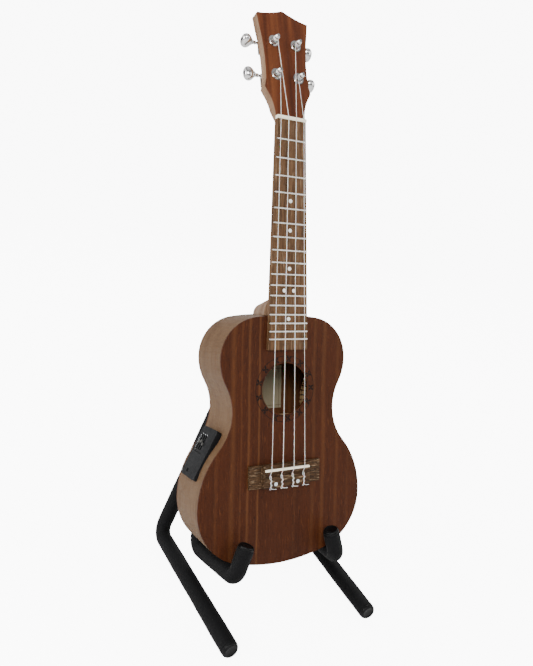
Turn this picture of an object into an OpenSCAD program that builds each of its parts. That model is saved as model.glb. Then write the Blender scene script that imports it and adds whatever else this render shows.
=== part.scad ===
// Concert ukulele with a side preamp, resting on a folding floor stand.
// The floor is z = 0, +Z is up and the instrument faces -Y.
// Most modules work in the instrument's own frame: X across, Y up the neck from the nut,
// Z out of the face with 0 at the top of the fingerboard. leaned() carries them to the floor frame.

/* [Placement] */
// Lean of the instrument and its rests from the vertical, degrees
lean_angle = 15.24; // [10:0.01:20]
// Height of the nut above the floor
nut_height = 524.4; // [500:0.1:550]
// Distance that centres the whole assembly front to back over the origin
depth_shift = 58; // [0:0.1:100]

/* [Scale and neck] */
// Vibrating length of the strings
scale_length = 380; // [340:1:430]
// Number of frets
fret_count = 17; // [12:1:20]
// Half width of the fingerboard at the nut
board_half_nut = 17.7; // [16:0.1:20]
// Growth of that half width over the whole scale length
board_half_growth = 10.58; // [6:0.01:14]
// Length of the fingerboard
board_length = 249.5; // [200:0.5:280]
// Thickness of the fingerboard
board_thick = 5; // [4:0.1:6]
// Depth of the neck below the fingerboard at the nut
neck_depth_nut = 14; // [12:0.1:17]
// Depth of the neck below the fingerboard at the heel
neck_depth_heel = 16.5; // [14:0.1:20]
// Tilt of the headstock, degrees
head_tilt = 11; // [0:0.5:18]
// Thickness of the headstock
head_thick = 12; // [10:0.1:16]

/* [Body] */
// Distance from the nut to the top of the body
body_top = 211; // [190:1:240]
// Depth of the body
body_depth = 65; // [50:1:80]
// Half width of the upper bout
upper_half = 78.5; // [70:0.5:90]
// Half width of the waist
waist_half = 63.7; // [55:0.1:75]
// Half width of the lower bout
lower_half = 103; // [90:0.5:120]
// Radius of the bottom arc, which is also the radius on which the arms fold
bottom_arc_r = 200; // [150:1:250]
// Distance from the nut to the centre of the bottom arc
bottom_arc_centre = 290; // [270:1:310]
// Thickness of the side ribs
rib_thick = 2.4; // [1.8:0.1:3]
// Thickness of the soundboard and of the back
plate_thick = 2.2; // [1.6:0.1:3]
// Radius of the soundhole
soundhole_r = 29; // [25:0.5:33]
// Distance from the nut to the soundhole centre
soundhole_pos = 293.4; // [280:0.1:310]

/* [Bridge and strings] */
// Half width of the bridge
bridge_half = 45; // [38:0.5:50]
// Half width of its raised middle block
bridge_mid_half = 29.5; // [25:0.5:34]
// Spacing of the strings at the nut
nut_spacing = 9.5; // [8:0.1:11]
// Spacing of the strings at the saddle
saddle_spacing = 14; // [12:0.1:15]
// Radius of the strings
string_r = 0.4; // [0.3:0.01:0.5]

/* [Tuners] */
// Distance of the posts from the centre line
post_half = 13.8; // [12:0.1:16]
// Distance up the headstock to the lower posts
post_low = 51.2; // [45:0.1:60]
// Distance up the headstock to the upper posts
post_high = 90; // [80:0.1:100]
// Distance from a post's axis to its worm's axis
worm_offset = 5.4; // [5:0.1:7]
// Teeth on the worm wheel
wheel_teeth = 14; // [12:1:18]

/* [Preamp] */
// Length of the preamp's front panel
panel_long = 58; // [50:0.5:70]
// Width of the panel
panel_wide = 39; // [34:0.5:45]
// Thickness of the panel
panel_thick = 2.6; // [2:0.1:4]
// Depth of the box behind it
box_deep = 22; // [18:0.5:30]

/* [Stand] */
// Radius of the steel tube
tube_r = 6.2; // [5:0.1:7]
// Wall of the steel tube
tube_wall = 1.2; // [0.8:0.1:2]
// Outer radius of the foam sleeves
foam_r = 9.5; // [8:0.1:11]
// Gap kept between the sleeves and the instrument
rest_gap = 0.35; // [0.3:0.05:1]
// Distance of the front feet from the middle
foot_half = 85; // [70:0.5:110]
// Distance of the rear leg bends from the middle
leg_bend_half = 94.5; // [80:0.5:110]

/* [Hidden] */
$fn = 48;
slack = 0.05;
face_w = -board_thick;
back_w = face_w - body_depth;
inner_front = face_w - plate_thick;
inner_back = back_w + plate_thick;
fold_centre = [0, -bottom_arc_centre];

// Arcs of the body outline, each tangent to the next
upper_v = -260;
lower_v = -420;
top_arc_r = 270;
top_c = [0, -body_top - top_arc_r];
corner_r = 46.7;
corner_c = [upper_half - corner_r, upper_v];
side_up_r = 57.2;
side_up_c = [upper_half - side_up_r, upper_v];
waist_r = 60;
waist_c = [waist_half + waist_r, -317];
side_low_r = 95;
side_low_c = [lower_half - side_low_r, lower_v];
low_r = 64.4;
low_c = [lower_half - low_r, lower_v];
bottom_c = [0, -bottom_arc_centre];
angle_top = atan2(corner_c[1] - top_c[1], corner_c[0] - top_c[0]);
angle_waist_up = atan2(waist_c[1] - side_up_c[1], waist_c[0] - side_up_c[0]);
angle_waist_low = atan2(waist_c[1] - side_low_c[1], waist_c[0] - side_low_c[0]);
angle_bottom = atan2(low_c[1] - bottom_c[1], low_c[0] - bottom_c[0]);

function on_circle(c, r, a) = c + r * [cos(a), sin(a)];
function arc(c, r, a0, a1, n) = [for (i = [0:n - 1]) on_circle(c, r, a0 + (a1 - a0) * i / n)];
function half_outline(t) = concat(
    arc(top_c, top_arc_r - t, 90, angle_top, 4),
    arc(corner_c, corner_r - t, angle_top, 0, 10),
    arc(side_up_c, side_up_r - t, 0, angle_waist_up, 5),
    arc(waist_c, waist_r + t, 180 + angle_waist_up, 180 + angle_waist_low, 9),
    arc(side_low_c, side_low_r - t, angle_waist_low, 0, 8),
    arc(low_c, low_r - t, 0, angle_bottom, 10),
    arc(bottom_c, bottom_arc_r - t, angle_bottom, -90, 7)
);
function mirrored(list) = [for (i = [len(list) - 1:-1:1]) [-list[i][0], list[i][1]]];
function outline(t) = concat(
    half_outline(t), [[0, bottom_c[1] - bottom_arc_r + t]], mirrored(half_outline(t))
);

function board_half(v) = board_half_nut + board_half_growth * v / scale_length;
function fret_v(n) = scale_length * (1 - pow(2, -n / 12));
function unit(v) = v / norm(v);
head_drop = -2;
function head_pt(x, s, z) = [
    x,
    s * cos(head_tilt) + z * sin(head_tilt),
    head_drop - s * sin(head_tilt) + z * cos(head_tilt)
];

module leaned() {
    translate([0, depth_shift, nut_height]) rotate([90 - lean_angle, 0, 0]) children();
}

module on_head() {
    translate([0, 0, head_drop]) rotate([-head_tilt, 0, 0]) children();
}

// A plate cut to the body outline, t inside it, from height w0 to w1
module body_slab(t, w0, w1) {
    translate([0, 0, w0]) linear_extrude(w1 - w0) polygon(outline(t));
}

module rod(a, b, r) {
    d = b - a;
    translate(a) rotate([0, acos(d[2] / norm(d)), atan2(d[1], d[0])]) cylinder(r = r, h = norm(d));
}

// Rods through a list of points with a slightly larger ball at each corner
ball_ratio = 1.15;
module wire(points, r) {
    for (i = [0:len(points) - 2]) rod(points[i], points[i + 1], r);
    for (i = [1:len(points) - 2]) translate(points[i]) sphere(r = r * ball_ratio, $fn = 20);
}

function half_turn(a, c, b) = acos(unit(a - c) * unit(b - c)) / 2;
function set_back(a, c, b, bend_r) = bend_r / tan(half_turn(a, c, b));

// A bend is this much fatter than its straights, which reach this far into it
bend_swell = 0.06;
bend_lap = 0.5;

// The round part of a tube bend at corner c between points a and b
module elbow(a, c, b, bend_r, r) {
    e1 = unit(a - c);
    e2 = unit(b - c);
    h = half_turn(a, c, b);
    centre = c + unit(e1 + e2) * bend_r / sin(h);
    start = c + e1 * bend_r / tan(h);
    x = unit(start - centre);
    y = -e1;
    z = cross(x, y);
    multmatrix([
        [x[0], y[0], z[0], centre[0]],
        [x[1], y[1], z[1], centre[1]],
        [x[2], y[2], z[2], centre[2]],
        [0, 0, 0, 1]
    ]) rotate_extrude(angle = 180 - 2 * h) translate([bend_r, 0]) circle(r = r + bend_swell);
}

// ---- stand: path points of one half, in the instrument's frame ----
// side is 1 for the right half and -1 for the left
leg_top_v = -286;
leg_top_u = 22;
arm_w = back_w - foam_r - 4.6;
arm_r = bottom_arc_r + foam_r + rest_gap;
leg_bend_r = 15;
arm_back_bend_r = 15;
arm_front_bend_r = 11;
arm_front_u = 64.3;
arm_back_u = 73;
function on_rest(u, w) = [u, -bottom_arc_centre - sqrt(arm_r * arm_r - u * u), w];
leg_path = [[leg_top_u, leg_top_v, -96], [leg_bend_half, -491.6, -154.4], [foot_half, -544.8, 40.9]];
arm_path = [[29, -300, arm_w], on_rest(arm_back_u, arm_w), on_rest(arm_front_u, 8), [54, -458, 11.5]];

function along(a, b, d) = a + unit(b - a) * d;

// One bend: from a, round c, to b, starting skip_a along and stopping skip_b short
module leg_sweep(r, skip_a, skip_b) {
    a = leg_path[0];
    c = leg_path[1];
    b = leg_path[2];
    s = set_back(a, c, b, leg_bend_r);
    rod(along(a, c, skip_a), along(c, a, s - bend_lap), r);
    elbow(a, c, b, leg_bend_r, r);
    rod(along(c, b, s - bend_lap), along(b, c, skip_b), r);
}

// The arm: down behind the back, forward under the body, up in front of it
module arm_sweep(r, skip_a, skip_b) {
    a = arm_path[0];
    c = arm_path[1];
    d = arm_path[2];
    b = arm_path[3];
    s1 = set_back(a, c, d, arm_back_bend_r);
    s2 = set_back(c, d, b, arm_front_bend_r);
    rod(along(a, c, skip_a), along(c, a, s1 - bend_lap), r);
    elbow(a, c, d, arm_back_bend_r, r);
    rod(along(c, d, s1 - bend_lap), along(d, c, s2 - bend_lap), r);
    elbow(c, d, b, arm_front_bend_r, r);
    rod(along(d, b, s2 - bend_lap), along(b, d, skip_b), r);
}

module half(side) {
    leaned() if (side > 0) children();
    leaned() if (side < 0) mirror([1, 0, 0]) children();
}

yoke_disc_r = 16;
yoke_plate = 3;
yoke_first_w = -80.6;
hinge_pin_r = 4;
cap_thick = 3;
cap_step = 0.8;

// Welded steel half: pivot plate, side block, leg tube and arm tube
module half_frame(side) {
    level = side > 0 ? yoke_first_w - 2 * yoke_plate - 0.4 : yoke_first_w - yoke_plate;
    color("black") half(side) difference() {
        union() {
            translate([0, fold_centre[1], level]) cylinder(r = yoke_disc_r, h = yoke_plate);
            translate([0, fold_centre[1] - 12, level]) cube([24, 24, yoke_plate]);
            translate([18, -311, -103.5]) cube([21, 37, 103.5 + yoke_first_w]);
            leg_sweep(tube_r, 0, 0);
            arm_sweep(tube_r, 0, 0);
        }
        translate([0, fold_centre[1], -110]) cylinder(r = hinge_pin_r + slack, h = 40);
        leg_sweep(tube_r - tube_wall, 30, -1);
        arm_sweep(tube_r - tube_wall, 30, -1);
    }
}

leg_foam_start = 38;
arm_foam_start = 26;
module leg_foam(side) {
    color("dimgray") half(side) difference() {
        leg_sweep(foam_r, leg_foam_start, 0);
        leg_sweep(tube_r + slack, leg_foam_start - 1, -1);
    }
}

module arm_foam(side) {
    color("dimgray") half(side) difference() {
        arm_sweep(foam_r, arm_foam_start, 0);
        arm_sweep(tube_r + slack, arm_foam_start - 1, -1);
    }
}

// A moulded cap on an end b of a path that arrives from a, with its plug inside the tube
module end_cap(a, b) {
    rod(b, along(b, a, -cap_thick), foam_r - cap_step);
    rod(along(b, a, 12), along(b, a, -1), tube_r - tube_wall - slack);
}

module half_caps(side) {
    color("black") half(side) {
        end_cap(leg_path[1], leg_path[2]);
        end_cap(arm_path[2], arm_path[3]);
    }
}

module left_frame() { half_frame(-1); }
module right_frame() { half_frame(1); }
module left_leg_foam() { leg_foam(-1); }
module right_leg_foam() { leg_foam(1); }
module left_arm_foam() { arm_foam(-1); }
module right_arm_foam() { arm_foam(1); }
module left_end_caps() { half_caps(-1); }
module right_end_caps() { half_caps(1); }

pad_r = 19;
bolt_head_r = 7;
bolt_head_h = 4;
knob_w = yoke_first_w - 2 * yoke_plate - 0.4 - 0.8;
module hinge_bolt() {
    color("silver") leaned() translate([0, fold_centre[1], 0]) {
        translate([0, 0, knob_w - 11]) cylinder(r = hinge_pin_r, h = yoke_first_w - knob_w + 11.4);
        translate([0, 0, yoke_first_w + 0.4]) cylinder(r = bolt_head_r, h = bolt_head_h);
    }
}

module back_pad() {
    color("dimgray") leaned() translate([0, fold_centre[1], 0]) difference() {
        translate([0, 0, yoke_first_w + 0.4]) cylinder(r = pad_r, h = back_w - rest_gap - yoke_first_w - 0.4);
        translate([0, 0, yoke_first_w - 1]) cylinder(r = bolt_head_r + slack, h = bolt_head_h + 1.4 + slack);
    }
}

knob_r = 12;
module hinge_knob() {
    color("black") leaned() translate([0, fold_centre[1], 0]) difference() {
        union() {
            translate([0, 0, knob_w - 10]) cylinder(r = knob_r, h = 10);
            translate([0, 0, knob_w - 13]) cylinder(r1 = knob_r - 4, r2 = knob_r, h = 3);
        }
        translate([0, 0, knob_w - 11 - slack]) cylinder(r = hinge_pin_r + slack, h = 12);
        for (i = [0:5]) rotate([0, 0, i * 60]) translate([knob_r + 3, 0, knob_w - 14])
            cylinder(r = 5, h = 15);
    }
}

// ---- body ----
jack_w = face_w - body_depth / 2;
jack_hole_r = 6;
block_half = 28;
half_space = 130;
neck_block_v = -232;
tail_block_v = -474;
panel_c = [-85.2, -365, -40];
panel_turn = -119.25;
box_long = 50;
box_wide = 31;

// Carries the preamp's frame (X down the panel, Y forward, Z outward) to the body's side
module on_panel() {
    translate(panel_c) rotate([0, 0, panel_turn]) rotate([90, 0, 0]) children();
}

module soundboard() {
    color("saddlebrown") leaned() difference() {
        body_slab(0, inner_front, face_w);
        translate([0, -soundhole_pos, inner_front - 1])
            cylinder(r = soundhole_r, h = plate_thick + 2, $fn = 96);
    }
}

module back_plate() {
    color("peru") leaned() body_slab(0, back_w, inner_back);
}

// One bent rib; side is 1 for the right rib and -1 for the left, and they meet on the centre line.
// Each carries half of an eight-sided clearance hole for the jack.
module rib(side) {
    color("peru") leaned() difference() {
        intersection() {
            body_slab(0, inner_back, inner_front);
            translate([side > 0 ? 0 : -half_space, -520, back_w]) cube([half_space, 340, body_depth]);
        }
        body_slab(rib_thick, inner_back - 1, inner_front + 1);
        on_panel() {
            translate([-box_long / 2 - 0.1, -box_wide / 2 - 0.1, -12])
                cube([box_long + 0.2, box_wide + 0.2, 24]);
            for (p = screw_places) translate([p[0], p[1], -12]) cylinder(r = screw_r, h = 20);
        }
        translate([0, -480, jack_w]) rotate([90, 22.5, 0])
            cylinder(r = jack_hole_r / cos(22.5), h = 20, $fn = 8);
    }
}

module left_ribs() { rib(-1); }
module right_ribs() { rib(1); }

lining_deep = 7;
lining_thick = 4.5;
module lining(w0, w1) {
    difference() {
        body_slab(rib_thick + 0.02, w0, w1);
        body_slab(rib_thick + lining_thick, w0 - 1, w1 + 1);
        translate([-block_half - 0.1, neck_block_v, w0 - 1]) cube([2 * block_half + 0.2, 40, w1 - w0 + 2]);
        translate([-block_half - 0.1, -500, w0 - 1]) cube([2 * block_half + 0.2, 40, w1 - w0 + 2]);
    }
}

module front_lining() {
    color("burlywood") leaned() lining(inner_front - lining_deep, inner_front);
}

module back_lining() {
    color("burlywood") leaned() lining(inner_back, inner_back + lining_deep);
}

module neck_block() {
    color("burlywood") leaned() intersection() {
        body_slab(rib_thick + 0.02, inner_back, inner_front);
        translate([-block_half, neck_block_v, inner_back - 1]) cube([2 * block_half, 40, body_depth]);
    }
}

module tail_block() {
    color("burlywood") leaned() difference() {
        intersection() {
            body_slab(rib_thick + 0.02, inner_back, inner_front);
            translate([-block_half, tail_block_v - 30, inner_back - 1])
                cube([2 * block_half, 30, body_depth]);
        }
        translate([0, -460, jack_w]) rotate([90, 0, 0]) cylinder(r = jack_hole_r, h = 40);
    }
}

brace_wide = 6;
module front_braces() {
    color("burlywood") leaned() intersection() {
        body_slab(rib_thick + lining_thick + 1, inner_front - 9, inner_front);
        union() {
            translate([-100, -254, inner_front - 8]) cube([200, brace_wide, 8]);
            translate([-100, -340, inner_front - 8]) cube([200, brace_wide, 8]);
            translate([-brace_wide / 2, -470, inner_front - 6]) cube([brace_wide, 60, 6]);
            for (s = [-1, 1]) translate([s * 40, -345, inner_front - 6]) rotate([0, 0, s * 9])
                translate([-brace_wide / 2, -115, 0]) cube([brace_wide, 112, 6]);
        }
    }
}

module back_braces() {
    color("burlywood") leaned() intersection() {
        body_slab(rib_thick + lining_thick + 1, inner_back, inner_back + 11);
        for (v = [-254, -340, -430]) translate([-100, v, inner_back]) cube([200, brace_wide, 9]);
    }
}

module bridge_plate() {
    color("burlywood") leaned() translate([-31, -405, inner_front - 2]) cube([62, 34, 2]);
}

module maker_label() {
    color("ivory") leaned() translate([-30, -326, inner_back]) cube([60, 52, 0.25]);
}

// ---- neck ----
heel_r_top = 23;
heel_r_end = 12;
head_waist_half = 25.6;
head_waist_s = 61.5;
head_flare = 0.0022;
head_peak_s = 129;
function head_side(x) = head_waist_half + head_flare * pow(x - head_waist_s, 2);
module head_outline() {
    right = concat(
        [[board_half_nut, -1]],
        arc([68, 4], 50, 180, 142, 6),
        [[28.4, 35.5]],
        [for (x = [46:12:106]) [head_side(x), x]],
        [[31.9, 120.4], [24, 121.4], [16, 123.4], [8, 126]]
    );
    left = [for (i = [len(right) - 1:-1:0]) [-right[i][0], right[i][1]]];
    polygon(concat(right, [[0, head_peak_s]], left));
}

// Radius of the neck's round back at the nut
throat_r = (pow(board_half_nut, 2) + pow(neck_depth_nut, 2)) / (2 * neck_depth_nut);
throat_z = 1.2;
throat_slope = 0.38;
throat_long = 38;
throat_end_s = 35.5;

// The headstock, its lower end rounded off into the back of the neck
module head_slab() {
    intersection() {
        translate([0, 0, -head_thick]) linear_extrude(head_thick) head_outline();
        union() {
            translate([0, -2, throat_z]) rotate([-90, 0, 0]) cylinder(
                r1 = throat_r - 2 * throat_slope, r2 = throat_r + (throat_long - 2) * throat_slope,
                h = throat_long, $fn = 64
            );
            translate([-50, throat_end_s, -head_thick - 1]) cube([100, 110, head_thick + 2]);
        }
    }
}

module neck_shaft() {
    end_v = -body_top - 2;
    r0 = throat_r;
    r1 = (pow(board_half(-end_v), 2) + pow(neck_depth_heel, 2)) / (2 * neck_depth_heel);
    w0 = face_w - neck_depth_nut + r0;
    w1 = face_w - neck_depth_heel + r1;
    intersection() {
        translate([0, 10, w0]) rotate([90 + atan((w0 - w1) / -(end_v - 10)), 0, 0])
            cylinder(r1 = r0, r2 = r1, h = 10 - end_v, $fn = 64);
        translate([-40, end_v, face_w - 40]) cube([80, 10 - end_v, 40]);
    }
}

module neck() {
    color("peru") leaned() difference() {
        union() {
            neck_shaft();
            on_head() head_slab();
            translate([0, -body_top, back_w + 6])
                cylinder(r1 = heel_r_end, r2 = heel_r_top, h = face_w - back_w - 16);
        }
        body_slab(-0.02, back_w - 5, face_w + 1);
        translate([-60, -body_top - 60, back_w - 5]) cube([120, 59.5, 80]);
        translate([-30, -4, face_w]) cube([60, 7.7, 20]);
        on_head() for (x = [-post_half, post_half]) for (s = [post_low, post_high])
            translate([x, s, -head_thick - 1]) cylinder(r = bushing_r + slack, h = head_thick + 2);
    }
}

fret_crown_r = 0.9;
fret_high = 0.9;
tang_wide = 0.6;
dot_r = 2.2;
dot_places = [[5, 0], [7, 0], [10, 0], [12, -6], [12, 6], [15, 0]];
function dot_v(n) = -(fret_v(n) + fret_v(n - 1)) / 2;

module fingerboard() {
    color("sienna") leaned() difference() {
        translate([0, 0, face_w]) linear_extrude(board_thick) polygon([
            [-board_half(0), 0], [board_half(0), 0],
            [board_half(board_length), -board_length], [-board_half(board_length), -board_length]
        ]);
        for (n = [1:fret_count]) translate([-30, -fret_v(n) - tang_wide / 2, -2]) cube([60, tang_wide, 3]);
        for (d = dot_places) translate([d[1], dot_v(d[0]), -1]) cylinder(r = dot_r, h = 2);
    }
}

module frets() {
    color("silver") leaned() for (n = [1:fret_count]) {
        h = board_half(fret_v(n)) - 0.2;
        translate([-h, -fret_v(n), 0]) intersection() {
            translate([0, 0, fret_high - fret_crown_r]) rotate([0, 90, 0])
                cylinder(r = fret_crown_r, h = 2 * h, $fn = 24);
            translate([-1, -2, 0.01]) cube([2 * h + 2, 4, 3]);
        }
        translate([-h, -fret_v(n) - tang_wide / 2 + 0.05, -1.9]) cube([2 * h, tang_wide - 0.1, 2.2]);
    }
}

module fret_markers() {
    color("white") leaned() for (d = dot_places)
        translate([d[1], dot_v(d[0]), -0.98]) cylinder(r = dot_r - 0.04, h = 0.98);
}

// ---- strings: 1 is the leftmost, seen from the front ----
nut_long = 3.6;
nut_crown_r = 1.2;
nut_crown_w = 0.5;
string_nut_w = 1.35;
saddle_v = -381.2;
saddle_top = 5.2;
string_saddle_w = saddle_top + string_r * ball_ratio + 0.02;
tie_hole_w = 0.8;
bridge_top = 2.6;
bridge_upper = -376;
bridge_lower = -401;
bridge_long = bridge_upper - bridge_lower;
tie_edge = -389;
dot_inset = 3.8;
tail_v = bridge_lower - 1.3;
knot_r = 1.05;
winding_z = 4.6;
groove_r = 2.2;
winding_r = groove_r + string_r + 0.03;
function nut_u(i) = (i - 2.5) * nut_spacing;
function saddle_u(i) = (i - 2.5) * saddle_spacing;
function nut_pt(i) = [nut_u(i), nut_long / 2, string_nut_w];
function post_x(i) = i < 3 ? -post_half : post_half;
function post_s(i) = i == 1 || i == 4 ? post_low : post_high;
// Where the string meets its winding, on the side of the post that faces the middle, 2.4 short of it
function string_end(i) = head_pt(
    post_x(i) + (i < 3 ? winding_r : -winding_r), post_s(i) - 2.4, winding_z
);

module one_string(i) {
    u = saddle_u(i);
    color("white") leaned() {
        wire([
            string_end(i), nut_pt(i), [u, saddle_v, string_saddle_w],
            [u, tie_edge + 0.5, tie_hole_w], [u, tail_v, tie_hole_w],
            [u, tail_v, bridge_top + 0.6], [u + 0.5, tie_edge + 1.2, bridge_top + 0.6]
        ], string_r);
        translate([u + 0.2, tie_edge + 1.2, 2]) sphere(r = knot_r, $fn = 20);
        rod([u, tail_v, bridge_top - 0.5], [u + 6.5, tail_v, bridge_top - 1.2], string_r);
    }
}

module string_1() { one_string(1); }
module string_2() { one_string(2); }
module string_3() { one_string(3); }
module string_4() { one_string(4); }

module nut() {
    color("ivory") leaned() difference() {
        union() {
            translate([-board_half_nut, 0.05, face_w])
                cube([2 * board_half_nut, nut_long - 0.05, board_thick + 1]);
            translate([-board_half_nut, nut_long / 2, nut_crown_w]) rotate([0, 90, 0])
                cylinder(r = nut_crown_r, h = 2 * board_half_nut, $fn = 24);
        }
        for (i = [1:4]) {
            dir = unit([saddle_u(i), saddle_v, string_saddle_w] - nut_pt(i));
            rod(nut_pt(i) + dir * 4, nut_pt(i), string_r + slack);
            rod(nut_pt(i), along(nut_pt(i), string_end(i), 5), string_r + slack);
            translate(nut_pt(i)) sphere(r = string_r * ball_ratio + slack, $fn = 20);
        }
    }
}

saddle_half = 27.6;
saddle_wide = 2.6;
slot_low = -2.6;
strip_thick = 0.6;
saddle_foot = slot_low + strip_thick + 0.05;
module bridge() {
    color("sienna") leaned() difference() {
        union() {
            translate([-bridge_half, bridge_lower, face_w]) cube([2 * bridge_half, bridge_long, 3.4]);
            translate([-bridge_mid_half, bridge_lower, face_w])
                cube([2 * bridge_mid_half, bridge_long, bridge_top - face_w]);
            for (s = [-1, 1]) translate([s * bridge_mid_half, bridge_lower, face_w + 3.3]) rotate([-90, 0, 0])
                cylinder(r = 1.6, h = bridge_long);
        }
        translate([-saddle_half - 0.05, saddle_v - saddle_wide / 2 - 0.05, slot_low])
            cube([2 * saddle_half + 0.1, saddle_wide + 0.1, 20]);
        translate([-bridge_mid_half - 3, tie_edge, tie_hole_w - 1.2]) cube([2 * bridge_mid_half + 6, 4, 20]);
        for (i = [1:4]) translate([saddle_u(i), tie_edge + 1, tie_hole_w]) rotate([90, 0, 0])
            cylinder(r = 0.8, h = 20, $fn = 20);
        for (s = [-1, 1]) translate([s * saddle_spacing, bridge_lower + dot_inset, bridge_top - 1])
            cylinder(r = 2.2, h = 3);
    }
}

module bridge_dots() {
    color("white") leaned() for (s = [-1, 1])
        translate([s * saddle_spacing, bridge_lower + dot_inset, bridge_top - 0.98])
            cylinder(r = 2.15, h = 1);
}

module saddle() {
    color("ivory") leaned() {
        translate([-saddle_half, saddle_v - saddle_wide / 2, saddle_foot])
            cube([2 * saddle_half, saddle_wide, saddle_top - saddle_wide / 2 - saddle_foot]);
        translate([-saddle_half, saddle_v, saddle_top - saddle_wide / 2]) rotate([0, 90, 0])
            cylinder(r = saddle_wide / 2, h = 2 * saddle_half, $fn = 24);
    }
}

module piezo_strip() {
    color("gold") leaned() translate([-saddle_half + 1, saddle_v - 1, slot_low + 0.02])
        cube([2 * saddle_half - 2, 2, strip_thick - 0.02]);
}

// ---- tuners: the frame's origin is the post axis at the headstock face, +X towards the button ----
bushing_r = 4.1;
washer_r = 6.4;
post_r = 2.9;
post_tip_r = 2.8;
shaft_r = 1.5;
worm_r = 1.95;
wheel_r = 3.3;
worm_z = -head_thick - 5;
button_x = 24.8;
button_r = 7.8;
button_long = 12.6;
button_deep = 11.6;
// How far each button is turned on its shaft, degrees
button_roll = [0, 70, 40, 50];

module at_tuner(i) {
    leaned() on_head() translate([post_x(i), post_s(i), 0]) mirror([i < 3 ? 1 : 0, 0, 0]) children();
}

module tuner_bushings() {
    color("silver") for (i = [1:4]) at_tuner(i) difference() {
        union() {
            translate([0, 0, -head_thick + 0.5]) cylinder(r = bushing_r, h = head_thick);
            translate([0, 0, 0.02]) cylinder(r = washer_r, h = 0.9);
            translate([0, 0, 0.5]) cylinder(r1 = 5, r2 = 4.3, h = 2.6);
        }
        translate([0, 0, -head_thick - 1]) cylinder(r = post_r + 0.06, h = head_thick + 6);
    }
}

// Closed gear case on the back of the headstock, with its two fixing ears
module tuner_housings() {
    color("silver") for (i = [1:4]) at_tuner(i) difference() {
        union() {
            translate([-6.6, -5.4, -head_thick - 9.6]) cube([15.4, 14, 9.55]);
            for (y = [-8.4, 11.6]) translate([1, y, -head_thick - 1.6]) cylinder(r = 3, h = 1.55);
            translate([-2, -8.4, -head_thick - 1.6]) cube([6, 20, 1.55]);
            for (y = [-8.4, 11.6]) translate([1, y, -head_thick - 2.5]) cylinder(r = 1.8, h = 1);
        }
        translate([-5.4, -4.2, -head_thick - 8.4]) cube([12.8, 11.6, 7.2]);
        translate([0, 0, -head_thick - 4]) cylinder(r = post_r + 0.06, h = 6);
        translate([-8, worm_offset, worm_z]) rotate([0, 90, 0]) cylinder(r = shaft_r + 0.06, h = 20);
    }
}

// String post with its worm wheel, grooved where the string winds
module one_post(i) {
    color("silver") at_tuner(i) {
        translate([0, 0, -head_thick - 2.6]) cylinder(r = post_r, h = head_thick + 6);
        translate([0, 0, 3.3]) cylinder(r = groove_r, h = 5.2);
        translate([0, 0, 8.4]) cylinder(r1 = groove_r, r2 = post_tip_r, h = 1.2);
        translate([0, 0, 9.6]) cylinder(r1 = post_tip_r, r2 = 1.8, h = 2);
        difference() {
            translate([0, 0, -head_thick - 6.5]) cylinder(r = wheel_r, h = 4);
            for (k = [0:wheel_teeth - 1]) rotate([0, 0, k * 360 / wheel_teeth])
                translate([wheel_r + 0.1, 0, -head_thick - 7]) cylinder(r = 0.42, h = 4, $fn = 16);
        }
    }
}

module one_winding(i) {
    color("white") at_tuner(i) for (k = [0:2]) translate([0, 0, winding_z + k * 0.86]) rotate_extrude()
        translate([winding_r, 0]) circle(r = string_r, $fn = 16);
}

// Button, shaft and ridged worm, all turning as one
module one_button(i) {
    color("silver") at_tuner(i) translate([0, worm_offset, worm_z]) {
        rotate([0, 90, 0]) {
            translate([0, 0, -6.9]) cylinder(r = shaft_r, h = button_x + 6.9);
            for (k = [-3:3]) translate([0, 0, k * 1.3 - 0.4]) cylinder(r = worm_r, h = 0.8);
            translate([0, 0, 9]) cylinder(r = 2.5, h = 1.4);
            translate([0, 0, 13.5]) cylinder(r1 = 1.9, r2 = 2.8, h = 6);
        }
        translate([button_x, 0, 0]) rotate([button_roll[i - 1], 0, 0]) intersection() {
            sphere(r = button_r);
            translate([-button_long / 2, -button_r - 1, -button_deep / 2])
                cube([button_long, 2 * button_r + 2, button_deep]);
        }
    }
}

module tuner_button_1() { one_button(1); }
module tuner_button_2() { one_button(2); }
module tuner_button_3() { one_button(3); }
module tuner_button_4() { one_button(4); }
module string_post_1() { one_post(1); }
module string_post_2() { one_post(2); }
module string_post_3() { one_post(3); }
module string_post_4() { one_post(4); }
module string_winding_1() { one_winding(1); }
module string_winding_2() { one_winding(2); }
module string_winding_3() { one_winding(3); }
module string_winding_4() { one_winding(4); }

// ---- preamp ----
slot_long = 17;
slot_wide = 2.8;
slot_x = -10.7;
slot_pitch = 5.2;
slot_mid_y = -5.3;
door_x = 0.9;
door_long = 23.4;
door_y = -18.2;
door_wide = 26;
door_thick = 1.6;
door_gap = 0.15;
barrel_r = 0.9;
panel_low = 0.9;
panel_top = panel_low + panel_thick;
corner_round = 3.5;
screw_r = 0.95;
screw_head_r = 1.75;
screw_inset = 2.4;
screw_x = panel_long / 2 - screw_inset;
screw_y = panel_wide / 2 - screw_inset;
screw_places = [for (a = [-1, 1]) for (b = [-1, 1]) [a * screw_x, b * screw_y]];

skirt_deep = 3.4;
skirt_thick = 1;

// The panel's rounded outline, t inside it, from height z0 to z1
module rounded_plate(t, z0, z1) {
    a = panel_long / 2 - t;
    b = panel_wide / 2 - t;
    r = corner_round - t;
    translate([-a + r, -b, z0]) cube([2 * (a - r), 2 * b, z1 - z0]);
    translate([-a, -b + r, z0]) cube([2 * a, 2 * (b - r), z1 - z0]);
    for (x = [-1, 1]) for (y = [-1, 1]) translate([x * (a - r), y * (b - r), z0])
        cylinder(r = r, h = z1 - z0);
}

module preamp_bezel() {
    color("dimgray") leaned() difference() {
        on_panel() panel_shape();
        body_slab(-0.03, back_w - 1, face_w + 1);
    }
}

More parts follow.
